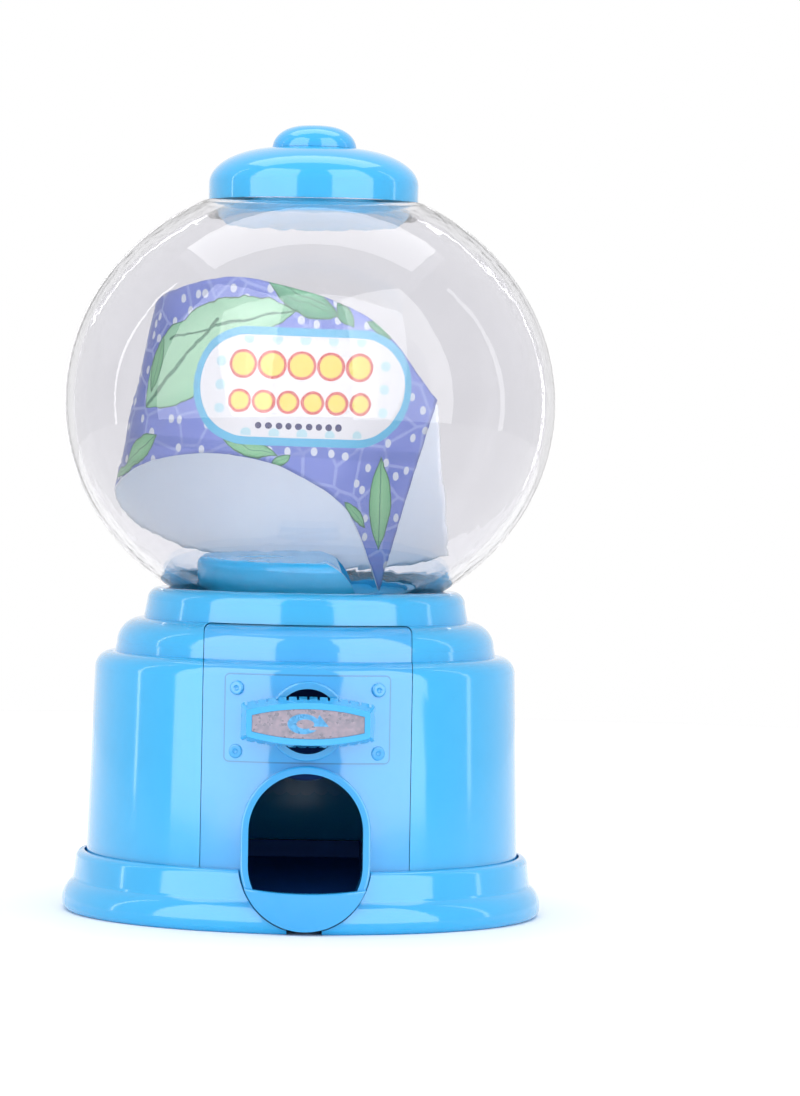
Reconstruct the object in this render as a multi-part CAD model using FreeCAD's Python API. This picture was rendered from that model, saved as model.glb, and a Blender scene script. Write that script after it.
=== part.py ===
import FreeCAD, Part
import math
import os

V = FreeCAD.Vector

# A toy gumball machine: a clear two-piece globe on a stepped blue body. A dial on
# the front panel turns a pocketed drum, which drops one sweet into the spout.
# Millimetres. Z is up, the front faces -Y, and z = 0 is the table under the foot.

# ---- Body: three round steps, each narrower than the one below it
wall = 1.8
body_foot_r = 38.6
body_side_r = 37.4
body_round = 3.0
body_h = 46.0
step_foot_r = 33.9
step_side_r = 33.6
step_round = 4.5
step_h = body_h + 6.0
crown_foot_r = 28.9
crown_side_r = 28.3
crown_round = 2.2
crown_h = step_h + 5.4
post_circle_r = 32.5
post_r = 2.8
rib_t = 1.4

# ---- Tray under the body
tray_foot_r = 41.6
tray_flare_r = 42.5
tray_flare_z = 1.3
tray_waist_r = 40.75
tray_waist_z = 5.4
tray_band_r = 40.2
tray_rim_round = 1.2
tray_h = 10.5
tray_foot_w = 2.2
tray_floor_z = 0.6
tray_floor_t = 1.4
tray_fit = 0.15
tray_boss_r = 3.6
tray_boss_h = 2.0
notch_foot = 3.0

# ---- Front panel in the body's window
window_w = 36.0
window_round = 1.2
seam = 0.12
flange_w = 5.0
flange_t = 1.3
flange_gap = 0.1

# ---- Moulded plate and collar round the dial
plate_w = 28.0
plate_h = 14.7
plate_round = 0.7
plate_proud = 0.4
stud_x = 12.1
stud_pitch_z = 10.8
stud_r = 1.22
stud_proud = 0.45
dial_z = body_h - 10.0
plate_z = dial_z - 7.05
hole_r = 5.55
collar_r = 6.8
collar_proud = 1.4
edge = 0.35

# ---- Spout where the sweet comes out
spout_r = 11.05
spout_wall = 1.3
spout_low_z = spout_r + 0.65
spout_top_z = spout_low_z + 5.7
spout_face_top = 39.5
spout_face_low = 43.4
spout_gap = 0.35
lip_z = 7.1
lip_side_rise = 0.9
lip_t = 1.6
lip_bulge = 0.8

# ---- Drum that carries one sweet round to the spout
drum_r = 9.2
drum_front = -29.6
drum_back = 2.7
drum_flange_r = 10.3
drum_flange_t = 1.4
drum_play = 0.4
pocket_y = -6.0
pocket_r = 4.8
pocket_depth = 8.7
stub_r = 2.0
stub_len = 2.6
running_fit = 0.06
shaft_r = 3.0
shaft_key = 4.2
shaft_tip = -43.6

# ---- Housing round the drum: the hopper's saddle above, the cradle below
housing_t = 1.1
housing_front = -29.2
end_wall_t = 1.5
ear_w = 5.2
ear_t = 2.0
ear_front_y = -25.5
ear_back_y = -0.5
exit_w = 11.4
exit_l = 11.0

# ---- Hopper: the funnel under the globe, with its hood
hopper_r = 19.6
hopper_wall = 1.5
hood_h = crown_h + 5.2
hood_round = 1.5
hood_edge_x = 3.0
hood_foot_x = 8.4
hopper_flange_r = 28.8
hopper_flange_t = 2.0
throat_r = 5.4
hopper_boss_r = 1.8

# ---- Globe: two clear half shells joined on a vertical seam
globe_r = 43.8
globe_half_h = globe_r - 3.8
globe_wall = 1.5
globe_pole_wall = 2.1
globe_mouth_r = 17.9
neck_r = hopper_r + 2.1
globe_foot_r = neck_r + 2.73
globe_z = crown_h + globe_half_h * math.sqrt(1 - (globe_foot_r / globe_r) ** 2)
globe_seat_z = globe_z + globe_half_h - 4.3
neck_fit = 0.3
neck_lip_r = neck_r + 1.7
neck_lip_t = 1.8
neck_len = 4.4
globe_seam = 0.04

# ---- Lid
lid_r = 18.7
lid_wall = 1.5
lid_band_h = 3.2
lid_crown_r = 6.0
lid_h = 9.7
finial_r = 7.5
finial_flat_r = 2.0
finial_h = 4.0
finial_stem_r = 2.5
finial_stem_len = 3.4
plug_top_r = 17.1
plug_r = 17.4
plug_tip_r = 16.4
plug_wall = 1.6
plug_floor_t = 1.2
plug_edge = 0.4
plug_drop = 2.7
plug_rise = 3.0

# ---- Dial: a boat-shaped knob with grooved flanks and a foil in its face
dial_back = -41.0
dial_front = -46.5
dial_back_half = (11.35, 4.36, 3.1)
dial_face_half = (10.45, 3.6, 2.2)
dial_foil_half = (9.54, 2.56, 1.4)
dial_corner = 0.5
dial_skin = 1.2
dial_hub_r = 4.0
dial_pocket = 0.4
foil_t = 0.15
foil_fit = 0.06
groove_count = 13
groove_pitch = 1.75
groove_w = 0.42
groove_depth = 0.42
groove_stop = 1.3
key_fit = 0.05

# ---- Chute: a sloping floor from under the drum to the spout
chute_w = 23.2
chute_t = 1.3
chute_side_h = 6.0
chute_front_y = -35.3
chute_back_y = 3.5
chute_rise = 5.0
chute_nose_z = 4.4
chute_end_h = 3.0
chute_ear_w = 4.6
chute_ear_h = 8.0
chute_ear_y = -27.5
chute_screw_z = 14.0
chute_boss_r = 2.1
chute_foot_r = 1.6
chute_foot_y = -2.0

# ---- Screws: radius of shank, radius of head, height of head, length under the head
base_screw = (1.2, 2.3, 1.1, 12.0)
hopper_screw = (0.9, 1.6, 0.9, 6.4)
cradle_screw = (1.0, 1.9, 1.0, 7.0)
dial_screw = (1.0, 1.9, 0.9, 8.0)
chute_screw = (1.0, 1.9, 1.0, 5.0)
screw_fit = 0.05
screw_clear = 0.2
screw_slot_w = 0.5
screw_slot_depth = 0.5

# ---- Paper card, loosely rolled and leaning in the globe
card_t = 0.4
card_globe_r = 42.3
card_globe_half_h = 37.9
card_globe_z = 90.6

# ---- Sizes that follow from the ones above
tray_floor_top = tray_floor_z + tray_floor_t
boss_top = tray_floor_top + tray_boss_h
window_top = step_h
drum_bore_r = drum_r + drum_play
housing_r = drum_bore_r + housing_t
housing_back = drum_back + drum_play + end_wall_t
spout_bore_r = spout_r - spout_wall
spout_top = spout_top_z + spout_r
hopper_ceiling = step_h - wall
neck_bore_r = hopper_r + neck_fit
hopper_screw_circle_r = neck_lip_r + 1.8
body_slope = (body_foot_r - body_side_r) / (body_h - body_round - tray_floor_top)
post_angles = (45, 135, 225, 315)
hopper_angles = (90, 210, 330)


def box(x0, x1, y0, y1, z0, z1):
    return Part.makeBox(x1 - x0, y1 - y0, z1 - z0, V(x0, y0, z0))


def post(r, x, y, z0, z1):
    return Part.makeCylinder(r, z1 - z0, V(x, y, z0))


def rod(r, x, z, y0, y1):
    """A cylinder lying along Y."""
    return Part.makeCylinder(r, y1 - y0, V(x, y0, z), V(0, 1, 0))


def line(a, b):
    return Part.LineSegment(V(a[0], 0, a[1]), V(b[0], 0, b[1])).toShape()


def arc(a, m, b):
    return Part.Arc(V(a[0], 0, a[1]), V(m[0], 0, m[1]), V(b[0], 0, b[1])).toShape()


def round_corner(centre, rx, rz):
    """A quarter ellipse from the side (right of the centre) to the top (above it)."""
    cx, cz = centre
    half = math.sqrt(0.5)
    if abs(rx - rz) < 1e-6:
        return arc((cx + rx, cz), (cx + rx * half, cz + rz * half), (cx, cz + rz))
    points = []
    for i in range(9):
        t = i * math.pi / 16
        points.append(V(cx + rx * math.cos(t), 0, cz + rz * math.sin(t)))
    curve = Part.BSplineCurve()
    curve.interpolate(points)
    return curve.toShape()


def turned(edges):
    """A closed outline in the X-Z plane turned about Z."""
    face = Part.Face(Part.Wire(edges))
    return face.revolve(V(0, 0, 0), V(0, 0, 1), 360)


def across(edges, y0, y1):
    """A closed outline in the X-Z plane pushed along Y."""
    face = Part.Face(Part.Wire(edges))
    face.translate(V(0, y0, 0))
    return face.extrude(V(0, y1 - y0, 0))


def on_circle(r, angle):
    a = math.radians(angle)
    return r * math.cos(a), r * math.sin(a)


def screw(size):
    """A self-tapping screw, pointing up, with the underside of its head at z = 0."""
    shank_r, head_r, head_h, length = size
    tip = Part.makeCone(shank_r, shank_r * 0.3, shank_r * 1.5, V(0, 0, length - shank_r * 1.5))
    body = Part.makeCylinder(shank_r, length - shank_r * 1.5).fuse(tip)
    head = Part.makeCylinder(head_r, head_h, V(0, 0, -head_h))
    head = head.makeChamfer(head_h * 0.35, [head.Edges[2]])
    for wide, deep in ((head_r * 1.2, screw_slot_w), (screw_slot_w, head_r * 1.2)):
        half_x = wide / 2
        half_y = deep / 2
        cut = box(-half_x, half_x, -half_y, half_y, -head_h - 1, -head_h + screw_slot_depth)
        head = head.cut(cut)
    return body.fuse(head)


def stepped(inset, bottom):
    """The stepped body as one turned solid, its skin moved inward by the inset."""
    sides = (
        (body_foot_r, body_side_r, body_round, body_h),
        (step_foot_r, step_side_r, step_round, step_h),
        (crown_foot_r, crown_side_r, crown_round, crown_h),
    )
    pen = (body_foot_r + body_slope * (tray_floor_top - bottom) - inset, bottom)
    edges = [line((0, bottom), pen)]
    for foot_r, side_r, round_r, top in sides:
        foot = (foot_r - inset, pen[1])
        if foot_r != body_foot_r:
            edges.append(line(pen, foot))
            pen = foot
        corner = (side_r - round_r, top - round_r)
        edges.append(line(pen, (side_r - inset, corner[1])))
        edges.append(round_corner(corner, round_r - inset, round_r - inset))
        pen = (corner[0], top - inset)
    edges.append(line(pen, (0, pen[1])))
    edges.append(line((0, pen[1]), (0, bottom)))
    return turned(edges)


def window(inset):
    """The opening in the body that the front panel fills, or the panel's own outline."""
    half = window_w / 2 - inset
    top = window_top - inset
    r = window_round
    k = r * (1 - math.sqrt(0.5))
    edges = [
        line((-half, -1), (half, -1)),
        line((half, -1), (half, top - r)),
        arc((half, top - r), (half - k, top - k), (half - r, top)),
        line((half - r, top), (-half + r, top)),
        arc((-half + r, top), (-half + k, top - k), (-half, top - r)),
        line((-half, top - r), (-half, -1)),
    ]
    return across(edges, -60, -10)


def stadium(r, y0, y1):
    """The spout's outline: two equal round ends joined by straight sides."""
    edges = [
        arc((r, spout_top_z), (0, spout_top_z + r), (-r, spout_top_z)),
        line((-r, spout_top_z), (-r, spout_low_z)),
        arc((-r, spout_low_z), (0, spout_low_z - r), (r, spout_low_z)),
        line((r, spout_low_z), (r, spout_top_z)),
    ]
    return across(edges, y0, y1)


def shell_skin():
    return stepped(0, tray_floor_top).cut(stepped(wall, tray_floor_top - 2))


def base_tray():
    flare = (tray_flare_r, tray_flare_z)
    waist = (tray_waist_r, tray_waist_z)
    under = (tray_flare_r - 0.26, tray_flare_z - 0.85)
    over = (tray_flare_r - 0.3, tray_flare_z + 2.2)
    rim_z = tray_h - tray_rim_round
    rim_r = tray_band_r - tray_rim_round
    edges = [
        line((0, 0), (tray_foot_r, 0)),
        arc((tray_foot_r, 0), under, flare),
        arc(flare, over, waist),
        line(waist, (tray_waist_r - 0.15, tray_waist_z + 0.4)),
        line((tray_waist_r - 0.15, tray_waist_z + 0.4), (tray_band_r, rim_z)),
        round_corner((rim_r, rim_z), tray_rim_round, tray_rim_round),
        line((rim_r, tray_h), (0, tray_h)),
        line((0, tray_h), (0, 0)),
    ]
    tray = turned(edges)
    tray = tray.cut(post(body_foot_r + tray_fit, 0, 0, tray_floor_top, tray_h + 1))
    tray = tray.cut(post(tray_foot_r - tray_foot_w, 0, 0, -1, tray_floor_z))
    shank_r, head_r, head_h, _ = base_screw
    for angle in post_angles:
        x, y = on_circle(post_circle_r, angle)
        tray = tray.fuse(post(tray_boss_r, x, y, tray_floor_z, boss_top))
        tray = tray.cut(post(head_r + screw_clear, x, y, -1, boss_top - 1.6))
        tray = tray.cut(post(shank_r + screw_clear, x, y, -1, boss_top + 1))
    # The spout stands in a notch in the front of the rim, open at the bottom.
    notch_r = spout_r + spout_gap
    notch_y = -(body_foot_r + tray_fit + 0.5)
    tray = tray.cut(stadium(notch_r, -60, notch_y))
    tray = tray.cut(stadium(notch_r, -60, -30).common(box(-20, 20, -60, -20, tray_floor_top, 40)))
    tray = tray.cut(box(-notch_foot, notch_foot, -60, notch_y, -1, 3))
    return tray.removeSplitter()


def body_shell():
    shell = shell_skin().cut(window(0))
    shell = shell.cut(post(neck_r + neck_fit, 0, 0, crown_h - wall - 1, crown_h + 1))
    inside = stepped(wall * 0.5, tray_floor_top)
    shank_r = base_screw[0]
    for angle in post_angles:
        x, y = on_circle(post_circle_r, angle)
        pillar = post(post_r, x, y, boss_top, body_h)
        rib = box(post_circle_r, body_foot_r, -rib_t / 2, rib_t / 2, boss_top + 2, body_h - 1)
        rib.rotate(V(0, 0, 0), V(0, 0, 1), angle)
        shell = shell.fuse(pillar.fuse(rib).common(inside))
        shell = shell.cut(post(shank_r + screw_fit, x, y, boss_top - 1, boss_top + base_screw[3]))
    # Three small bosses under the crown take the hopper's screws.
    for angle in hopper_angles:
        x, y = on_circle(hopper_screw_circle_r, angle)
        boss = post(hopper_boss_r, x, y, hopper_ceiling, crown_h - wall / 2)
        shell = shell.fuse(boss)
        shell = shell.cut(post(hopper_screw[0] + screw_fit, x, y, hopper_ceiling - 1, crown_h - wall))
    return shell.removeSplitter()


def panel_flanges():
    """Strips behind the panel's sides that overlap the inside of the body."""
    inner = wall + flange_gap + flange_t
    foot = tray_floor_top
    behind = stepped(wall + flange_gap, foot).cut(stepped(inner, foot - 1))
    joined = stepped(wall - 0.3, foot).cut(stepped(inner, foot - 1))
    half = window_w / 2
    top = body_h - body_round - 1
    strips = []
    for side in (-1, 1):
        x_in = side * (half - flange_w / 2)
        x_out = side * (half + flange_w / 2)
        x_seam = side * (half - seam)
        strips.append(behind.common(box(min(x_in, x_out), max(x_in, x_out), -60, -10, foot, top)))
        strips.append(joined.common(box(min(x_in, x_seam), max(x_in, x_seam), -60, -10, foot, top)))
    return strips


def dial_plate():
    """The raised plate, its four moulded studs, and the collar round the dial's hole."""
    z1 = plate_z + plate_h
    low_r = body_side_r + body_slope * (body_h - body_round - plate_z)
    high_r = body_side_r + body_slope * (body_h - body_round - z1)
    cone = Part.makeCone(low_r + plate_proud, high_r + plate_proud, plate_h, V(0, 0, plate_z))
    core = Part.makeCone(low_r - wall / 2, high_r - wall / 2, plate_h, V(0, 0, plate_z))
    slab = box(-plate_w / 2, plate_w / 2, -60, -20, plate_z, z1)
    upright = [e for e in slab.Edges if abs(e.BoundBox.YLength) > 30]
    slab = slab.makeFillet(plate_round, upright)
    plate = cone.common(slab).cut(core)
    plate_r = (low_r + high_r) / 2 + plate_proud
    for x in (-stud_x, stud_x):
        for z in (dial_z - stud_pitch_z / 2, dial_z + stud_pitch_z / 2):
            turn = math.degrees(math.asin(x / plate_r))
            stud = Part.makeCylinder(stud_r, stud_proud + 0.8, V(0, -plate_r + 0.8, z), V(0, -1, 0))
            rim = [e for e in stud.Edges if e.BoundBox.YMin > 0 or e.BoundBox.YMax < -plate_r]
            stud = stud.makeFillet(stud_proud * 0.7, rim)
            dimple = Part.makeSphere(0.6, V(0, -plate_r - stud_proud - 0.35, z))
            stud = stud.cut(dimple)
            stud.rotate(V(0, 0, 0), V(0, 0, 1), turn)
            plate = plate.fuse(stud)
    ring = rod(collar_r, 0, dial_z, -plate_r - collar_proud + plate_proud, -plate_r + 1.5)
    rim = [e for e in ring.Edges if e.BoundBox.YMax < -plate_r]
    ring = ring.makeFillet(edge, rim)
    return plate.fuse(ring)


def spout():
    """The tube round the opening, with its leaning front and the bulged lip below."""
    lean = (spout_face_low - spout_face_top) / (spout_top - (spout_low_z - spout_r))
    z0 = -2.0
    z1 = spout_top + 2
    low = -spout_face_low - lean * (spout_low_z - spout_r - z0)
    high = -spout_face_top + lean * (z1 - spout_top)
    corners = ((-30, z0), (low, z0), (high, z1), (-30, z1), (-30, z0))
    side = Part.makePolygon([V(-15, y, z) for y, z in corners])
    wedge = Part.Face(side).extrude(V(30, 0, 0))
    tube = stadium(spout_r, -60, -30).common(wedge)
    front = [e for e in tube.Edges if on_spout_face(e, lean)]
    tube = tube.makeFillet(edge, front)
    tube = tube.cut(stepped(wall, -3))
    step_y = -(body_foot_r + tray_fit + 0.5) - spout_gap
    tube = tube.cut(box(-15, 15, step_y, 0, -5, tray_floor_top))
    tube = tube.cut(stadium(spout_bore_r, -60, -30))
    # The lip's top edge dips in the middle; its front is part of a large ball.
    half_w = spout_r
    sweep = (half_w ** 2 + lip_side_rise ** 2) / (2 * lip_side_rise)
    ball_r = spout_face_low + lip_bulge
    lip = stadium(spout_r, -60, -spout_face_low + lip_t)
    lip = lip.common(Part.makeSphere(ball_r, V(0, 0, lip_z)))
    lip = lip.cut(rod(sweep, 0, lip_z + sweep, -60, -30))
    top = [e for e in lip.Edges if e.BoundBox.ZMin > lip_z - 0.2 and e.BoundBox.XLength > 10]
    lip = lip.makeFillet(edge, top)
    return tube.fuse(lip)


def on_spout_face(e, lean):
    """True for an edge that lies in the spout's leaning front face."""
    for vertex in e.Vertexes:
        face_y = -spout_face_top - lean * (spout_top - vertex.Z)
        if abs(vertex.Y - face_y) > 0.05:
            return False
    return True


def chute_bosses():
    """Posts behind the panel that take the chute's two screws."""
    x = chute_w / 2 + chute_ear_w / 2
    bosses = []
    for side in (-1, 1):
        bosses.append(rod(chute_boss_r, side * x, chute_screw_z, -38, chute_ear_y - ear_t))
    return bosses


def front_panel():
    panel = shell_skin().common(window(seam))
    panel = panel.cut(stadium(spout_bore_r, -60, -30))
    for strip in panel_flanges():
        panel = panel.fuse(strip)
    inside = stepped(wall * 0.5, tray_floor_top)
    for boss in chute_bosses():
        panel = panel.fuse(boss.common(inside))
    panel = panel.fuse(dial_plate())
    panel = panel.fuse(spout())
    panel = panel.cut(rod(hole_r, 0, dial_z, -60, -20))
    x = chute_w / 2 + chute_ear_w / 2
    for side in (-1, 1):
        hole = rod(chute_screw[0] + screw_fit, side * x, chute_screw_z, chute_ear_y - chute_screw[3], -20)
        panel = panel.cut(hole)
    return panel.removeSplitter()


def half_ring(above):
    """Half of the sleeve round the drum, with half of its closed back end."""
    outer = rod(housing_r, 0, dial_z, housing_front, housing_back)
    inner = rod(drum_bore_r, 0, dial_z, housing_front - 1, housing_back - end_wall_t)
    sleeve = outer.cut(inner)
    sleeve = sleeve.cut(rod(stub_r + running_fit, 0, dial_z, drum_back, housing_back + 1))
    if above:
        return sleeve.common(box(-20, 20, -60, 40, dial_z, 80))
    return sleeve.common(box(-20, 20, -60, 40, 0, dial_z))


def ear_places():
    x = housing_r + ear_w / 2 - 0.4
    return [(side * x, y) for side in (-1, 1) for y in (ear_front_y, ear_back_y)]


def hopper():
    # The outside: a round collar with a soft top edge, and the flange it is screwed by.
    edges = [
        line((0, hopper_ceiling), (hopper_r, hopper_ceiling)),
        line((hopper_r, hopper_ceiling), (hopper_r, hood_h - hood_round)),
        round_corner((hopper_r - hood_round, hood_h - hood_round), hood_round, hood_round),
        line((hopper_r - hood_round, hood_h), (0, hood_h)),
        line((0, hood_h), (0, hopper_ceiling)),
    ]
    collar = turned(edges)
    flange_z = hopper_ceiling - hopper_flange_t
    flange = post(hopper_flange_r, 0, 0, flange_z, hopper_ceiling)
    # The hood covers one side only: its edge sweeps down to the rim in a curve.
    rim = crown_h - neck_fit
    bend = (hood_edge_x + (hood_foot_x - hood_edge_x) * 0.62, (hood_h + rim) / 2 + 0.7)
    mouth_edges = [
        line((hood_edge_x, hood_h + 1), (hood_edge_x, hood_h)),
        arc((hood_edge_x, hood_h), bend, (hood_foot_x, rim)),
        line((hood_foot_x, rim), (30, rim)),
        line((30, rim), (30, hood_h + 1)),
        line((30, hood_h + 1), (hood_edge_x, hood_h + 1)),
    ]
    collar = collar.cut(across(mouth_edges, -30, 30))
    body = collar.fuse(flange)
    # The inside: a funnel that narrows to the throat over the drum's pocket.
    bore_r = hopper_r - hopper_wall
    funnel_top = rim - 1.0
    ceiling = hood_h - hopper_wall
    body = body.cut(post(bore_r, 0, 0, funnel_top, ceiling))
    top_ring = Part.Wire(Part.makeCircle(bore_r, V(0, 0, funnel_top)))
    low_ring = Part.Wire(Part.makeCircle(throat_r, V(0, pocket_y, flange_z + 0.5)))
    body = body.cut(Part.makeLoft([top_ring, low_ring], True, True))
    # The saddle hangs under the flange on the throat and two webs.
    web_x = housing_r * 0.78
    parts = [half_ring(True)]
    parts.append(post(throat_r + hopper_wall, 0, pocket_y, dial_z + drum_bore_r, flange_z + 0.2))
    for side in (-1, 1):
        x0 = side * web_x - rib_t / 2
        parts.append(box(x0, x0 + rib_t, housing_front, housing_back, dial_z + 5, flange_z + 0.2))
    for x, y in ear_places():
        ear = box(x - ear_w / 2, x + ear_w / 2, y - ear_w / 2, y + ear_w / 2, dial_z, dial_z + ear_t)
        parts.append(ear)
        parts.append(post(2.2, x, y, dial_z, dial_z + cradle_screw[3] - 0.5))
    for part in parts:
        body = body.fuse(part)
    body = body.cut(rod(drum_bore_r, 0, dial_z, housing_front - 1, housing_back - end_wall_t))
    body = body.cut(rod(stub_r + running_fit, 0, dial_z, drum_back, housing_back + 1))
    body = body.cut(post(throat_r, 0, pocket_y, dial_z + 2, flange_z + 0.6))
    for x, y in ear_places():
        body = body.cut(post(cradle_screw[0] + screw_fit, x, y, dial_z - 1, dial_z + cradle_screw[3] - 1.6))
    for angle in hopper_angles:
        x, y = on_circle(hopper_screw_circle_r, angle)
        body = body.cut(post(hopper_screw[0] + screw_clear, x, y, flange_z - 1, hopper_ceiling + 1))
    return body.removeSplitter()


def rotor_cradle():
    cradle = half_ring(False)
    for x, y in ear_places():
        ear = box(x - ear_w / 2, x + ear_w / 2, y - ear_w / 2, y + ear_w / 2, dial_z - ear_t, dial_z)
        cradle = cradle.fuse(ear)
    cradle = cradle.cut(rod(drum_bore_r, 0, dial_z, housing_front - 1, housing_back - end_wall_t))
    for x, y in ear_places():
        cradle = cradle.cut(post(cradle_screw[0] + screw_clear, x, y, dial_z - ear_t - 1, dial_z + 1))
    y0 = pocket_y - exit_l / 2
    cradle = cradle.cut(box(-exit_w / 2, exit_w / 2, y0, y0 + exit_l, 0, dial_z - 4))
    return cradle.removeSplitter()


def dispensing_rotor():
    drum = rod(drum_r, 0, dial_z, drum_front, drum_back)
    front = drum_front - drum_flange_t
    drum = drum.fuse(rod(drum_flange_r, 0, dial_z, front, drum_front))
    drum = drum.fuse(rod(stub_r, 0, dial_z, drum_back, drum_back + stub_len))
    shaft = rod(shaft_r, 0, dial_z, dial_back + 0.6, front)
    half = shaft_key / 2
    key = box(-half, half, shaft_tip, dial_back + 1, dial_z - half, dial_z + half)
    drum = drum.fuse(shaft).fuse(key)
    # The pocket is a round-bottomed well, open at the top at rest.
    well_z = dial_z + drum_r - pocket_depth + pocket_r
    drum = drum.cut(post(pocket_r, 0, pocket_y, well_z, dial_z + drum_r + 1))
    drum = drum.cut(Part.makeSphere(pocket_r, V(0, pocket_y, well_z)))
    drum = drum.cut(rod(dial_screw[0] + screw_fit, 0, dial_z, shaft_tip - 1, shaft_tip + dial_screw[3]))
    return drum.removeSplitter()


def boat(half, inset=0.0):
    """The dial's outline: two long arcs that meet short straight ends."""
    a, b, flat = [size - inset for size in half]
    return [
        arc((-a, dial_z + flat), (0, dial_z + b), (a, dial_z + flat)),
        line((a, dial_z + flat), (a, dial_z - flat)),
        arc((a, dial_z - flat), (0, dial_z - b), (-a, dial_z - flat)),
        line((-a, dial_z - flat), (-a, dial_z + flat)),
    ]


def boat_wire(half, y, inset=0.0):
    wire = Part.Wire(boat(half, inset))
    wire.translate(V(0, y, 0))
    return wire


def dial_knob():
    back = boat_wire(dial_back_half, dial_back)
    face = boat_wire(dial_face_half, dial_front)
    knob = Part.makeLoft([back, face], True, True)
    corners = [e for e in knob.Edges if e.BoundBox.YLength > 1]
    knob = knob.makeFillet(dial_corner, corners)
    # Short grooves in the upper and lower flanks give the fingers a grip.
    for i in range(groove_count):
        x = (i - (groove_count - 1) / 2) * groove_pitch
        for side in (-1, 1):
            end_drop = dial_back_half[1] - dial_back_half[2]
            rim = dial_back_half[1] - end_drop * (x / dial_back_half[0]) ** 2
            z = dial_z + side * (rim - groove_depth)
            tooth = box(x - groove_w / 2, x + groove_w / 2, dial_front + groove_stop, dial_back + 1, 0, 2)
            tooth.translate(V(0, 0, z if side > 0 else z - 2))
            knob = knob.cut(tooth)
    # Hollow behind, with a square socket on the drum's shaft.
    floor = dial_front + dial_pocket + dial_skin
    inner_back = boat_wire(dial_back_half, dial_back + 0.01, dial_skin)
    inner_face = boat_wire(dial_face_half, floor, dial_skin)
    hollow = Part.makeLoft([inner_back, inner_face], True, True)
    hub = rod(dial_hub_r, 0, dial_z, dial_front, dial_back + 1)
    knob = knob.cut(hollow.cut(hub))
    knob = knob.cut(across(boat(dial_foil_half), dial_front - 1, dial_front + dial_pocket))
    half = shaft_key / 2 + key_fit
    knob = knob.cut(box(-half, half, shaft_tip - key_fit, 0, dial_z - half, dial_z + half))
    shank_r, head_r, head_h, _ = dial_screw
    seat = shaft_tip - 1.0
    knob = knob.cut(rod(head_r + screw_clear, 0, dial_z, dial_front - 1, seat))
    knob = knob.cut(rod(shank_r + screw_clear, 0, dial_z, dial_front, shaft_tip))
    return knob.removeSplitter()


def dial_foil():
    y = dial_front + dial_pocket
    return across(boat(dial_foil_half, foil_fit), y - foil_t, y)


def screw_in_dial():
    shape = screw(dial_screw)
    shape.rotate(V(0, 0, 0), V(1, 0, 0), -90)
    shape.translate(V(0, shaft_tip - 1.0, dial_z))
    return shape


def chute_slide():
    half = chute_w / 2
    y0 = chute_front_y
    y1 = chute_back_y
    z0 = chute_nose_z
    z1 = chute_nose_z + chute_rise
    y_end = y1 - chute_t
    under = z0 - chute_t
    outer = ((y0, under), (y0, z0 + chute_side_h), (y1, z1 + chute_end_h), (y1, z1 - chute_t), (y0, under))
    inner = ((y0 - 1, z0), (y0 - 1, 40), (y_end, 40), (y_end, z1), (y0, z0), (y0 - 1, z0))
    side = Part.makePolygon([V(-half, y, z) for y, z in outer])
    trough = Part.Face(side).extrude(V(chute_w, 0, 0))
    side = Part.makePolygon([V(-half + chute_t, y, z) for y, z in inner])
    trough = trough.cut(Part.Face(side).extrude(V(chute_w - 2 * chute_t, 0, 0)))
    trough = trough.common(stepped(wall + 0.3, tray_floor_top + 0.2))
    # The nose carries the floor on into the bottom of the spout, behind the lip.
    nose = stadium(spout_bore_r - 0.25, -spout_face_low + lip_t + 0.4, y0 + 1)
    nose = nose.common(box(-half, half, -60, 0, tray_floor_top + 0.2, z0))
    trough = trough.fuse(nose)
    ear_x = half + chute_ear_w / 2
    for side in (-1, 1):
        near = side * (half - chute_t / 2)
        far = side * (half + chute_ear_w)
        low = chute_screw_z - chute_ear_h
        high = chute_screw_z + 3
        ear = box(min(near, far), max(near, far), chute_ear_y - ear_t, chute_ear_y, low, high)
        trough = trough.fuse(ear)
        trough = trough.cut(rod(chute_screw[0] + screw_clear, side * ear_x, chute_screw_z, -40, -20))
        slope = chute_rise / (y1 - y0)
        floor_z = z0 + slope * (chute_foot_y - y0)
        foot_x = side * (half - 4)
        trough = trough.fuse(post(chute_foot_r, foot_x, chute_foot_y, tray_floor_top, floor_z - 0.4))
    return trough.removeSplitter()


def globe_outline():
    """Half a section through the globe: bulb, seat for the lid, and neck."""
    def on(rx, rz, r, sign):
        return globe_z + sign * rz * math.sqrt(1 - (r / rx) ** 2)

    def bow(rx, rz, z_from, z_to):
        points = []
        for i in range(17):
            a = math.asin((z_from - globe_z) / rz)
            b = math.asin((z_to - globe_z) / rz)
            t = a + (b - a) * i / 16
            points.append(V(rx * math.cos(t), 0, globe_z + rz * math.sin(t)))
        curve = Part.BSplineCurve()
        curve.interpolate(points)
        return curve.toShape(), points[0], points[-1]

    in_r = globe_r - globe_wall
    in_h = globe_half_h - globe_pole_wall
    outer, foot, seat = bow(globe_r, globe_half_h, crown_h, globe_seat_z)
    inner, mouth, bore = bow(in_r, in_h, on(in_r, in_h, globe_mouth_r, 1), on(in_r, in_h, neck_bore_r, -1))
    neck_low = crown_h - neck_len
    lip_top = neck_low + neck_lip_t
    return [
        outer,
        line((seat.x, seat.z), (globe_mouth_r, globe_seat_z)),
        line((globe_mouth_r, globe_seat_z), (mouth.x, mouth.z)),
        inner,
        line((bore.x, bore.z), (neck_bore_r, neck_low)),
        line((neck_bore_r, neck_low), (neck_lip_r, neck_low)),
        line((neck_lip_r, neck_low), (neck_lip_r, lip_top)),
        line((neck_lip_r, lip_top), (neck_r, lip_top)),
        line((neck_r, lip_top), (neck_r, crown_h)),
        line((neck_r, crown_h), (foot.x, foot.z)),
    ]


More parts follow.
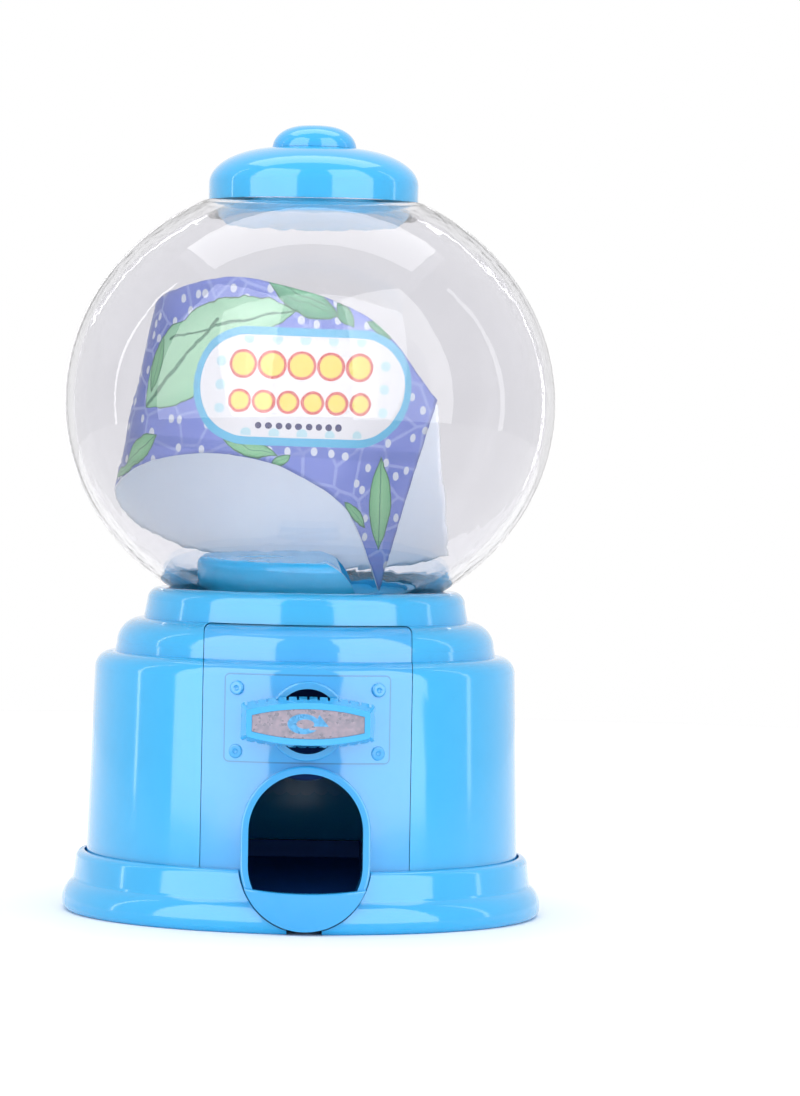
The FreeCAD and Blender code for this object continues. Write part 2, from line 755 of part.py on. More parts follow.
def globe_half(front):
    bulb = turned(globe_outline())
    if front:
        return bulb.common(box(-60, 60, -60, -globe_seam / 2, 0, 150))
    return bulb.common(box(-60, 60, globe_seam / 2, 60, 0, 150))


def lid_cap():
    z0 = globe_seat_z
    z_band = z0 + lid_band_h
    z_top = z0 + lid_h
    edges = [
        line((0, z0), (lid_r, z0)),
        line((lid_r, z0), (lid_r, z_band)),
        round_corner((lid_crown_r, z_band), lid_r - lid_crown_r, lid_h - lid_band_h),
        line((lid_crown_r, z_top), (0, z_top)),
        line((0, z_top), (0, z0)),
    ]
    in_r = lid_r - lid_wall
    hollow_edges = [
        line((0, z0 - 1), (in_r, z0 - 1)),
        line((in_r, z0 - 1), (in_r, z_band)),
        round_corner((lid_crown_r, z_band), in_r - lid_crown_r, lid_h - lid_band_h - lid_wall),
        line((lid_crown_r, z_top - lid_wall), (0, z_top - lid_wall)),
        line((0, z_top - lid_wall), (0, z0 - 1)),
    ]
    cap = turned(edges).cut(turned(hollow_edges))
    return cap.cut(post(finial_stem_r + screw_fit, 0, 0, z_top - 5, z_top + 1))


def lid_finial():
    z = globe_seat_z + lid_h
    edges = [
        line((0, z), (finial_r, z)),
        round_corner((finial_flat_r, z), finial_r - finial_flat_r, finial_h),
        line((finial_flat_r, z + finial_h), (0, z + finial_h)),
        line((0, z + finial_h), (0, z)),
    ]
    return turned(edges).fuse(post(finial_stem_r, 0, 0, z - finial_stem_len, z)).removeSplitter()


def lid_plug():
    """The cup under the lid that stops the globe's mouth, closed and flat below."""
    z0 = globe_seat_z - plug_drop
    z1 = globe_seat_z - 0.1
    z2 = globe_seat_z + plug_rise
    bend = ((plug_r + plug_tip_r) / 2 + 0.28, z0 + plug_drop * 0.45)
    turn = plug_edge * (1 - math.sqrt(0.5))
    floor_z = z0 + plug_floor_t
    edges = [
        line((0, z0), (plug_tip_r - plug_edge, z0)),
        arc((plug_tip_r - plug_edge, z0), (plug_tip_r - turn, z0 + turn), (plug_tip_r, z0 + plug_edge)),
        arc((plug_tip_r, z0 + plug_edge), bend, (plug_r, z1)),
        line((plug_r, z1), (plug_top_r, z1)),
        line((plug_top_r, z1), (plug_top_r, z2)),
        line((plug_top_r, z2), (plug_tip_r - plug_wall, z2)),
        line((plug_tip_r - plug_wall, z2), (plug_tip_r - plug_wall, floor_z)),
        line((plug_tip_r - plug_wall, floor_z), (0, floor_z)),
        line((0, floor_z), (0, z0)),
    ]
    return turned(edges)


# The card's two long edges, from its near end round the left to its far end, for a
# globe of the inside sizes above. They grow and rise with the globe.
card_top = (
    V(22.0, -14, 91.3), V(12.6, -20.5, 103.0), V(4.8, -23, 107.6), V(-4.8, -24, 110.4),
    V(-14.3, -21.5, 111.9), V(-24.0, -14, 109.9), V(-28.0, -3, 107.2), V(-24.5, 9, 101),
    V(-12, 18, 95.5), V(4, 20.5, 92.5), V(15, 17, 91.3), V(23.4, 12, 90.9),
)
card_low = (
    V(12.4, -14, 58.1), V(6.7, -20.0, 71.4), V(-1.3, -22.5, 77.3), V(-8.2, -23, 80.1),
    V(-18.7, -20.5, 81.3), V(-29.5, -12.5, 79.0), V(-34.6, -2, 73.2), V(-28.8, 9.5, 66.0),
    V(-14, 18.8, 60.8), V(2, 20.9, 59.4), V(14, 16.3, 59.4), V(26.0, 7, 62.4),
)


def card_edges(points, inset):
    """One long edge of the card, moved toward the middle of the roll by the inset."""
    curve = Part.BSplineCurve()
    moved = []
    wide = (globe_r - globe_wall) / card_globe_r
    high = (globe_half_h - globe_pole_wall) / card_globe_half_h
    for point in points:
        p = V(point.x * wide, point.y * wide, globe_z + (point.z - card_globe_z) * high)
        middle = V(-3, -1, p.z)
        step = middle - p
        step.normalize()
        moved.append(p + step * inset)
    curve.interpolate(moved)
    return curve.toShape()


def insert_card():
    low_out = card_edges(card_low, 0)
    top_out = card_edges(card_top, 0)
    low_in = card_edges(card_low, card_t)
    top_in = card_edges(card_top, card_t)
    faces = [
        Part.makeRuledSurface(low_out, top_out),
        Part.makeRuledSurface(low_in, top_in),
        Part.makeRuledSurface(low_out, low_in),
        Part.makeRuledSurface(top_out, top_in),
    ]
    for i in (0, -1):
        corners = [low_out.Vertexes[i], top_out.Vertexes[i], top_in.Vertexes[i], low_in.Vertexes[i]]
        near = Part.LineSegment(corners[0].Point, corners[1].Point).toShape()
        far = Part.LineSegment(corners[3].Point, corners[2].Point).toShape()
        faces.append(Part.makeRuledSurface(near, far))
    skin = Part.makeShell(faces)
    skin.sewShape()
    solid = Part.makeSolid(skin)
    if solid.Volume < 0:
        solid.reverse()
    return solid


def base_screws():
    """Four screws up through the tray into the body's posts."""
    screws = []
    for angle in post_angles:
        x, y = on_circle(post_circle_r, angle)
        one = screw(base_screw)
        one.translate(V(x, y, boss_top - 1.6))
        screws.append(one)
    return Part.makeCompound(screws)


def hopper_screws():
    """Three screws up through the hopper's flange into the crown."""
    screws = []
    for angle in hopper_angles:
        x, y = on_circle(hopper_screw_circle_r, angle)
        one = screw(hopper_screw)
        one.translate(V(x, y, hopper_ceiling - hopper_flange_t))
        screws.append(one)
    return Part.makeCompound(screws)


def cradle_screws():
    """Four screws up through the cradle's ears into the saddle's."""
    screws = []
    for x, y in ear_places():
        one = screw(cradle_screw)
        one.translate(V(x, y, dial_z - ear_t))
        screws.append(one)
    return Part.makeCompound(screws)


def chute_screws():
    """Two screws forward through the chute's ears into the panel."""
    x = chute_w / 2 + chute_ear_w / 2
    screws = []
    for side in (-1, 1):
        one = screw(chute_screw)
        one.rotate(V(0, 0, 0), V(1, 0, 0), 90)
        one.translate(V(side * x, chute_ear_y, chute_screw_z))
        screws.append(one)
    return Part.makeCompound(screws)


nodes = {
    "base_tray": base_tray(),
    "body_shell": body_shell(),
    "front_panel": front_panel(),
    "hopper": hopper(),
    "rotor_cradle": rotor_cradle(),
    "dispensing_rotor": dispensing_rotor(),
    "dial_knob": dial_knob(),
    "dial_foil": dial_foil(),
    "dial_screw": screw_in_dial(),
    "chute_slide": chute_slide(),
    "globe_front": globe_half(True),
    "globe_rear": globe_half(False),
    "lid_cap": lid_cap(),
    "lid_finial": lid_finial(),
    "lid_plug": lid_plug(),
    "insert_card": insert_card(),
    "base_screws": base_screws(),
    "hopper_screws": hopper_screws(),
    "cradle_screws": cradle_screws(),
    "chute_screws": chute_screws(),
}

os.makedirs("parts", exist_ok=True)
for name, shape in nodes.items():
    shape.exportStep("parts/" + name + ".step")
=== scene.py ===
import bpy
import math
from mathutils import Matrix, Vector


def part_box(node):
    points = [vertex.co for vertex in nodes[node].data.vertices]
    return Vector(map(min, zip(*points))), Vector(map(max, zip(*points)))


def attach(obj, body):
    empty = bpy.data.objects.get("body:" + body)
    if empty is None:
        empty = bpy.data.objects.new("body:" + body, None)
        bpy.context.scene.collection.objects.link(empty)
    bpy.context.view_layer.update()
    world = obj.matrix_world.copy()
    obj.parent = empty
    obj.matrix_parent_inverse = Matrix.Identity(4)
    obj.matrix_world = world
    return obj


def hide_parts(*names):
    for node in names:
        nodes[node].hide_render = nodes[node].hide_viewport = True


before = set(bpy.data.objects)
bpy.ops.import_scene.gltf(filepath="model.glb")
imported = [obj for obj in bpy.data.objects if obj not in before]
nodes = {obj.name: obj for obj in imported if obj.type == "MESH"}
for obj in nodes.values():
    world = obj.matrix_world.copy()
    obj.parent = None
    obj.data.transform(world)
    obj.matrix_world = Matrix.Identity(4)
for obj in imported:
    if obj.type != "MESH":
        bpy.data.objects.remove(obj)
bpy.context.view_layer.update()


# ---- Base tray, body shell and lid
# The tray-like foot, the three-step body, the lid's cap and the finial, whose stem sits in
# the cap, are injection mouldings in one glossy sky-blue ABS, polished like their mould,
# with the faint flow marks, fine scuffs and handling haze of a toy.

mm = 1000.0  # millimetres in a metre


class Tone:
    """One output of a finish's shader nodes, so that finishes are written as sums."""

    def __init__(self, tree, socket):
        self.tree = tree
        self.socket = socket

    def node(self, kind, settings, **sockets):
        made = self.tree.nodes.new(kind)
        settings = dict(settings)
        stops = settings.pop("stops", None)
        for key, value in settings.items():
            setattr(made, key, value)
        if stops:
            ramp = made.color_ramp
            while len(ramp.elements) < len(stops):
                ramp.elements.new(0.5)
            for element, (place, colour) in zip(ramp.elements, stops):
                element.position = place
                element.color = (*colour, 1)
        for key, value in sockets.items():
            name = key.replace("_", " ")
            slot = [s for s in made.inputs if s.enabled and s.name == name][0]
            if isinstance(value, Tone):
                self.tree.links.new(value.socket, slot)
            else:
                slot.default_value = value
        return Tone(self.tree, [s for s in made.outputs if s.enabled][0])

    def out(self, name):
        return Tone(self.tree, self.socket.node.outputs[name])

    def sum(self, operation, a, b=0.0):
        made = self.tree.nodes.new("ShaderNodeMath")
        made.operation = operation
        for slot, value in zip(made.inputs, (a, b)):
            if isinstance(value, Tone):
                self.tree.links.new(value.socket, slot)
            else:
                slot.default_value = value
        return Tone(self.tree, made.outputs[0])

    def __add__(self, other):
        return self.sum("ADD", self, other)

    def __radd__(self, other):
        return self.sum("ADD", other, self)

    def __sub__(self, other):
        return self.sum("SUBTRACT", self, other)

    def __rsub__(self, other):
        return self.sum("SUBTRACT", other, self)

    def __mul__(self, other):
        return self.sum("MULTIPLY", self, other)

    def __truediv__(self, other):
        return self.sum("DIVIDE", self, other)

    def __or__(self, other):
        return self.sum("MAXIMUM", self, other)

    def __and__(self, other):
        return self.sum("MINIMUM", self, other)

    def size(self):
        """The value without its sign."""
        return self.sum("ABSOLUTE", self)

    def root(self):
        return self.sum("SQRT", self)

    def wrapped(self, span):
        """The value from 0 to span, starting over at each span."""
        return self.sum("FLOORED_MODULO", self, span)

    def ramped(self, low, high):
        """0 below low, 1 above high, a soft step between."""
        return self.node("ShaderNodeMapRange", {"interpolation_type": "SMOOTHSTEP"},
                         Value=self, From_Min=low, From_Max=high, To_Min=0.0, To_Max=1.0)

    def blended(self, a, b):
        """Colour a where this is 0, colour b where it is 1."""
        made = self.tree.nodes.new("ShaderNodeMix")
        made.data_type = "RGBA"
        self.tree.links.new(self.socket, made.inputs[0])
        for slot, value in zip((made.inputs[6], made.inputs[7]), (a, b)):
            if isinstance(value, Tone):
                self.tree.links.new(value.socket, slot)
            else:
                slot.default_value = (*value, 1)
        return Tone(self.tree, made.outputs[2])


def finish(name, coordinates="Object"):
    """A new material, its main shader, and a Tone of the piece's own coordinates."""
    made = bpy.data.materials.new(name)
    made.use_nodes = True
    tree = made.node_tree
    shader = tree.nodes["Principled BSDF"]
    place = tree.nodes.new("ShaderNodeTexCoord")
    return made, shader, Tone(tree, place.outputs[coordinates])


def feed(shader, **sockets):
    """Sets or links the main shader's sockets."""
    for key, value in sockets.items():
        slot = shader.inputs[key.replace("_", " ")]
        if isinstance(value, Tone):
            value.tree.links.new(value.socket, slot)
        else:
            slot.default_value = value


def wear(node, material):
    """Gives a carried-over part its finish."""
    nodes[node].data.materials.clear()
    nodes[node].data.materials.append(material)


def inner_faces(place):
    """1 on the unpolished inner side of the body's walls, below the first step."""
    inner_r, polished_r = 35.9, 36.5
    inner_top, step_z = 38.0, 39.0
    spots = place.node("ShaderNodeSeparateXYZ", {}, Vector=place)
    x, y, z = (spots.out(axis) * mm for axis in "XYZ")
    within = 1.0 - (x * x + y * y).root().ramped(inner_r, polished_r)
    return within * (1.0 - z.ramped(inner_top, step_z))


def glossy_abs(name, deep, pale, roughness, coat, painted_shadow=None):
    """Moulded ABS: a slow flow of colour, polish marks, scuffs and handling haze. Where
    given, the last argument, a function of the place, marks where a thin dark line of
    painted shadow is drawn."""
    shadow_dim = 0.32
    made, shader, place = finish(name)
    flow = place.node("ShaderNodeTexNoise", {}, Vector=place, Scale=42.0, Detail=3.0,
                      Roughness=0.55)
    haze = place.node("ShaderNodeTexNoise", {}, Vector=place, Scale=230.0, Detail=5.0,
                      Roughness=0.65)
    grain = place.node("ShaderNodeTexNoise", {}, Vector=place, Scale=2600.0, Detail=2.0)
    drawn = place.node("ShaderNodeMapping", {}, Vector=place, Scale=(1500.0, 1500.0, 70.0))
    scuff = place.node("ShaderNodeTexNoise", {}, Vector=drawn, Scale=1.0, Detail=4.0,
                       Roughness=0.6)
    marks = scuff.ramped(0.66, 0.74)
    height = flow * 0.3 + haze * 0.05 + grain * 0.012
    colour = (flow * 0.7 + haze * 0.3).ramped(0.3, 0.7).blended(deep, pale)
    # painted shadow: a thin dark line, a third as bright as the deep tone, where the given
    # function marks it
    if painted_shadow:
        shade = tuple(part * shadow_dim for part in deep)
        colour = (painted_shadow(place) * (0.55 + flow * 0.6)).blended(colour, shade)
    inside = inner_faces(place)
    feed(shader,
         Base_Color=colour,
         Roughness=haze * 0.06 + marks * 0.05 + inside * 0.75 + roughness,
         IOR=1.52,
         Coat_Weight=(1.0 - inside) * coat,
         Coat_Roughness=0.05,
         Normal=place.node("ShaderNodeBump", {}, Height=height, Strength=0.22,
                           Distance=0.0004))
    return made


sky_blue = glossy_abs("sky_blue_abs", deep=(0.018, 0.372, 0.73), pale=(0.024, 0.395, 0.77),
                      roughness=0.07, coat=0.3)
for node in ("base_tray", "body_shell", "lid_cap", "lid_finial"):
    wear(node, sky_blue)


# ---- Front panel and dial knob
# The panel with its plate, dummy screw heads, collar and spout is one moulding; so is the
# boat-shaped dial with its rim of grip teeth. A thin dark line is drawn round the plate and
# along the panel's seam, where the shadow of so small a step is too faint to see.

panel_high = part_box("front_panel")[1]
panel_half = panel_high[0] * mm
panel_top = panel_high[2] * mm
plate_half_w = 14.0
plate_half_h = 7.35
plate_middle = 36.3
plate_round = 0.7


def painted_edge_shadow(place):
    """1 along the panel's own edges and just outside the raised plate, where a dark line of
    painted shadow is drawn.
    """
    spots = place.node("ShaderNodeSeparateXYZ", {}, Vector=place)
    x = (spots.out("X") * mm).size()
    z = spots.out("Z") * mm
    across = (x - (plate_half_w - plate_round)) | 0.0
    up = ((z - plate_middle).size() - (plate_half_h - plate_round)) | 0.0
    off = (across * across + up * up).root() - plate_round
    plate = off.ramped(-0.06, 0.08) * (1.0 - off.ramped(0.14, 0.36)) * 0.6
    seam = x.ramped(panel_half - 0.22, panel_half - 0.10)
    top = z.ramped(panel_top - 0.26, panel_top - 0.12)
    return plate | seam | top


panel_blue = glossy_abs("panel_blue_abs", deep=(0.024, 0.335, 0.71),
                        pale=(0.032, 0.357, 0.75), roughness=0.06, coat=0.45,
                        painted_shadow=painted_edge_shadow)
wear("front_panel", panel_blue)
dial_blue = glossy_abs("dial_blue_abs", deep=(0.030, 0.375, 0.74), pale=(0.040, 0.40, 0.78),
                       roughness=0.06, coat=0.5)
wear("dial_knob", dial_blue)


# ---- Hopper, drum, cradle, chute and plug
# The parts inside are plain satin mouldings. The hopper and the plug under the lid show
# through the globe as sky blue. The drum, its cradle and the chute are hidden in a dark
# opening; their darker blue is painted shade standing for the darkness in there, and their
# real colour is a guess.

def satin_abs(name, deep, pale, roughness, gloss):
    """Unpolished ABS: eroded grain, with rubbed places."""
    made, shader, place = finish(name)
    grain = place.node("ShaderNodeTexNoise", {}, Vector=place, Scale=1400.0, Detail=3.0,
                       Roughness=0.6)
    rub = place.node("ShaderNodeTexNoise", {}, Vector=place, Scale=120.0, Detail=5.0,
                     Roughness=0.6)
    feed(shader,
         Base_Color=(rub * 0.8 + grain * 0.2).ramped(0.35, 0.68).blended(deep, pale),
         Roughness=rub * 0.16 + roughness,
         IOR=1.52,
         Specular_IOR_Level=gloss,
         Normal=place.node("ShaderNodeBump", {}, Height=grain * 0.4 + rub, Strength=0.3,
                           Distance=0.0001))
    return made


# painted shade: a darker blue for the parts deep in the dark opening
painted_shade_blue = satin_abs("dark_blue_abs", deep=(0.002, 0.028, 0.14), pale=(0.003, 0.038, 0.18),
                      roughness=0.5, gloss=0.1)
for node in ("dispensing_rotor", "rotor_cradle", "chute_slide"):
    wear(node, painted_shade_blue)
satin_blue = satin_abs("satin_blue_abs", deep=(0.030, 0.46, 0.86), pale=(0.040, 0.50, 0.92),
                       roughness=0.06, gloss=0.5)
for node in ("hopper", "lid_plug"):
    wear(node, satin_blue)


# ---- Foil in the dial's face
# A boat-shaped cut of silvery pink glitter foil, stuck in the dial's recess, with a blue
# arrow printed on it that shows which way to turn.

def oval(x, z, left, half_w, half_h):
    """How far out a spot lies from the oval's middle; 1 is on its outline."""
    across, up = (x + left) / half_w, z / half_h
    return (across * across + up * up).root()


def glitter_foil(middle):
    """Glittering flakes and creases, with the arrow printed round the height given."""
    made, shader, place = finish("glitter_foil")
    flake = place.node("ShaderNodeTexVoronoi", {}, Vector=place, Scale=2300.0)
    tint = flake.out("Color").node("ShaderNodeSeparateColor", {}, Color=flake.out("Color"))
    spark = tint.out("Red")
    blush = place.node("ShaderNodeTexNoise", {}, Vector=place, Scale=420.0, Detail=3.0)
    crease = place.node("ShaderNodeTexNoise", {}, Vector=place, Scale=160.0, Detail=4.0)
    spots = place.node("ShaderNodeSeparateXYZ", {}, Vector=place)
    x = spots.out("X") * mm
    z = spots.out("Z") * mm - middle
    outer = oval(x, z, 0.8, 2.7, 1.7)
    inner = oval(x, z, 0.5, 1.5, 0.78)
    ring = (1.0 - outer.ramped(0.97, 1.03)) * inner.ramped(0.95, 1.05)
    gap = x.ramped(0.1, 0.3) * (1.0 - z.ramped(-0.4, -0.3)) * z.ramped(-1.05, -0.95)
    head = ((x * 1.95 - z * 0.85 - 2.25).ramped(-0.1, 0.1)
            * (6.34 - x * 2.0 - z * 1.65).ramped(-0.1, 0.1) * (z + 0.38).ramped(-0.05, 0.05))
    arrow = (ring * (1.0 - gap)) | head
    silver = (blush * 0.5 + spark * 0.5).blended((0.20, 0.22, 0.28), (0.35, 0.28, 0.34))
    ink = spark.blended((0.04, 0.25, 0.52), (0.07, 0.36, 0.68))
    feed(shader,
         Base_Color=arrow.blended(silver, ink),
         Metallic=0.55 - arrow * 0.45,
         Roughness=spark * 0.25 + 0.25,
         Coat_Weight=0.4,
         Coat_Roughness=0.12,
         Normal=place.node("ShaderNodeBump", {}, Height=spark + crease * 2.0, Strength=0.18,
                           Distance=0.00005))
    return made


foil_low, foil_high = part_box("dial_foil")
wear("dial_foil", glitter_foil((foil_low[2] + foil_high[2]) / 2 * mm))


# ---- Screws
# Small pan-head self-tapping screws in zinc-plated steel: four up through the foot, three
# in the hopper, four in the cradle, two in the chute and one under the dial's foil.

def plated_steel():
    """Zinc plating: a slow wash of tone over fine turned grain."""
    made, shader, place = finish("plated_steel")
    wash = place.node("ShaderNodeTexNoise", {}, Vector=place, Scale=500.0, Detail=4.0)
    turned = place.node("ShaderNodeTexNoise", {}, Vector=place, Scale=5200.0, Detail=3.0)
    feed(shader,
         Base_Color=wash.ramped(0.35, 0.7).blended((0.50, 0.50, 0.47), (0.66, 0.66, 0.68)),
         Metallic=1.0,
         Roughness=turned * 0.2 + wash * 0.1 + 0.14,
         Normal=place.node("ShaderNodeBump", {}, Height=turned, Strength=0.3,
                           Distance=0.00003))
    return made


steel = plated_steel()
for node in ("base_screws", "hopper_screws", "cradle_screws", "chute_screws", "dial_screw"):
    wear(node, steel)


# ---- Globe
# Two half shells of clear polystyrene, trapped by their neck between the body and the
# hopper. The walls have the moulding's slow waves, hairline scratches and finger haze.

def clear_styrene():
    """Clear plastic, its outline darkened with painted shade where the wall is seen along
    its length.
    """
    made, shader, place = finish("clear_styrene")
    wave = place.node("ShaderNodeTexNoise", {}, Vector=place, Scale=26.0, Detail=1.0)
    smear = place.node("ShaderNodeTexNoise", {}, Vector=place, Scale=90.0, Detail=6.0,
                       Roughness=0.6)
    drawn = place.node("ShaderNodeMapping", {}, Vector=place, Rotation=(0.4, 0.7, 0.2),
                       Scale=(2600.0, 90.0, 240.0))
    hair = place.node("ShaderNodeTexNoise", {}, Vector=drawn, Scale=1.0, Detail=3.0)
    slant = place.node("ShaderNodeLayerWeight", {}, Blend=0.5).out("Facing")
    # painted shade: the base colour turns dark grey-violet at the globe's outline, set by
    # the angle of view
    outline = slant.ramped(0.74, 0.98) * 0.95
    feed(shader,
         Base_Color=outline.blended(smear.blended((0.80, 0.795, 0.825), (0.85, 0.845, 0.87)),
                                    (0.42, 0.39, 0.45)),
         Roughness=smear.ramped(0.5, 0.8) * 0.03 + hair.ramped(0.70, 0.76) * 0.03,
         IOR=1.49,
         Specular_IOR_Level=0.38,
         Transmission_Weight=1.0,
         Normal=place.node("ShaderNodeBump", {}, Height=wave, Strength=0.01,
                           Distance=0.0002))
    return made


clear = clear_styrene()
for node in ("globe_front", "globe_rear"):
    wear(node, clear)


# ---- Rolled card
# One strip of 0.4 mm coated card, printed on its outer face and white on the inner one,
# rolled into a leaning ring and let go, so that it springs out against the globe. The
# print is a periwinkle ground with pale leaves and dots and a label of plain shapes.

card_thick = 0.0004
half_mm = 0.0005
fine_steps = 1200
uv_per_metre = 10
card_top = ((22, -14, 91.3), (12.6, -20.5, 103), (4.8, -23, 107.6), (-4.8, -24, 110.4),
            (-14.3, -21.5, 111.9), (-24, -14, 109.9), (-28, -3, 107.2), (-24.5, 9, 101),
            (-12, 18, 95.5), (4, 20.5, 92.5), (15, 17, 91.3), (23.4, 12, 90.9))
card_low = ((12.4, -14, 58.1), (6.7, -20, 71.4), (-1.3, -22.5, 77.3), (-8.2, -23, 80.1),
            (-18.7, -20.5, 81.3), (-29.5, -12.5, 79), (-34.6, -2, 73.2), (-28.8, 9.5, 66),
            (-14, 18.8, 60.8), (2, 20.9, 59.4), (14, 16.3, 59.4), (26, 7, 62.4))
card_steps = 176
card_rows = 40
label_spot = Vector((-0.02509, 0.02978))
label_turn = Matrix.Rotation(math.radians(-14.65), 2)


def along(points, t):
    """A point of the smooth curve through the points, t from 0 to 1, in metres."""
    spans = len(points) - 1
    i = min(int(t * spans), spans - 1)
    f = t * spans - i
    b, c = Vector(points[i]), Vector(points[i + 1])
    a = Vector(points[i - 1]) if i > 0 else b * 2 - c
    d = Vector(points[i + 2]) if i + 2 <= spans else c * 2 - b
    bent = (b * 2 + (c - a) * f + (a * 2 - b * 5 + c * 4 - d) * f ** 2
            + (b * 3 - a - c * 3 + d) * f ** 3)
    return bent * half_mm


def evenly(count):
    """The curve's own steps that lie at even distances along the strip's middle."""
    fine = [i / fine_steps for i in range(fine_steps + 1)]
    middle = [(along(card_top, t) + along(card_low, t)) / 2 for t in fine]
    walked = [0.0]
    for a, b in zip(middle, middle[1:]):
        walked.append(walked[-1] + (b - a).length)
    steps, j = [], 0
    for i in range(count + 1):
        goal = walked[-1] * i / count
        while j < fine_steps - 1 and walked[j + 1] < goal:
            j += 1
        share = (goal - walked[j]) / (walked[j + 1] - walked[j])
        steps.append(fine[j] + (fine[j + 1] - fine[j]) * share)
    return steps


def corner(a, b, from_a, from_b):
    """The third corner of a flat triangle on side a-b, at these distances."""
    side = b - a
    share = (from_a ** 2 - from_b ** 2 + side.length ** 2) / (2 * side.length)
    out = math.sqrt(max(from_a ** 2 - share ** 2, 0.0))
    way = side.normalized()
    return a + way * share + Vector((-way.y, way.x)) * out


def unrolled(steps):
    """The strip's two edges laid flat, as it was cut, in metres."""
    lows = [along(card_low, t) for t in steps]
    tops = [along(card_top, t) for t in steps]
    flat_low, flat_top = [Vector((0, 0))], [Vector((0, (tops[0] - lows[0]).length))]
    for i in range(len(steps) - 1):
        a, b = flat_low[-1], flat_top[-1]
        low = corner(a, b, (lows[i + 1] - lows[i]).length, (lows[i + 1] - tops[i]).length)
        flat_top.append(corner(low, b, (tops[i + 1] - lows[i + 1]).length,
                               (tops[i + 1] - tops[i]).length))
        flat_low.append(low)
    return flat_low, flat_top


def rolled_card():
    """The rolled strip; its UV map is the flat cut, one unit to 100 mm from the label."""
    bpy.ops.object.select_all(action="DESELECT")
    bpy.ops.mesh.primitive_grid_add(x_subdivisions=card_steps, y_subdivisions=card_rows,
                                    size=2, location=(0, 0, 0), calc_uvs=True)
    card = bpy.context.object
    card.name = "card_paper"
    steps = evenly(card_steps)
    flat_low, flat_top = unrolled(steps)
    flat = {}
    for point in card.data.vertices:
        i = round((point.co.x + 1) / 2 * card_steps)
        v = (point.co.y + 1) / 2
        low, top = along(card_low, steps[i]), along(card_top, steps[i])
        spot = flat_low[i].lerp(flat_top[i], v) - label_spot
        flat[point.index] = label_turn @ spot * uv_per_metre
        point.co = low.lerp(top, v)
    cut = card.data.uv_layers[0]
    for loop in card.data.loops:
        cut.data[loop.index].uv = flat[loop.vertex_index]
    bpy.ops.object.mode_set(mode="EDIT")
    bpy.ops.mesh.select_all(action="SELECT")
    bpy.ops.mesh.flip_normals()
    bpy.ops.object.mode_set(mode="OBJECT")
    bpy.ops.object.shade_smooth()
    return card


def leaf(x, y, tip, end, wide):
    """How far inside a lens-shaped leaf a spot lies, in mm; below 0 it is outside."""
    run, rise = end[0] - tip[0], end[1] - tip[1]
    length = math.hypot(run, rise)
    ux, uy = run / length, rise / length
    mx, my = (tip[0] + end[0]) / 2, (tip[1] + end[1]) / 2
    s = x * (ux * 2 / length) + y * (uy * 2 / length) - (mx * ux + my * uy) * 2 / length
    t = y * (ux * 2 / wide) - x * (uy * 2 / wide) - (my * ux - mx * uy) * 2 / wide
    return (1.0 - t.size() - s * s) * (wide / 2), t.size()


def row(x, y, middle, height, pitch, count, radius):
    """How far inside a row of equal round spots a place lies, in mm."""
    start = x - (middle - pitch * count / 2)
    off = start.wrapped(pitch) - pitch / 2
    rise = y - height
    inside = radius - (off * off + rise * rise).root()
    return inside & (pitch * count / 2 - (x - middle).size())


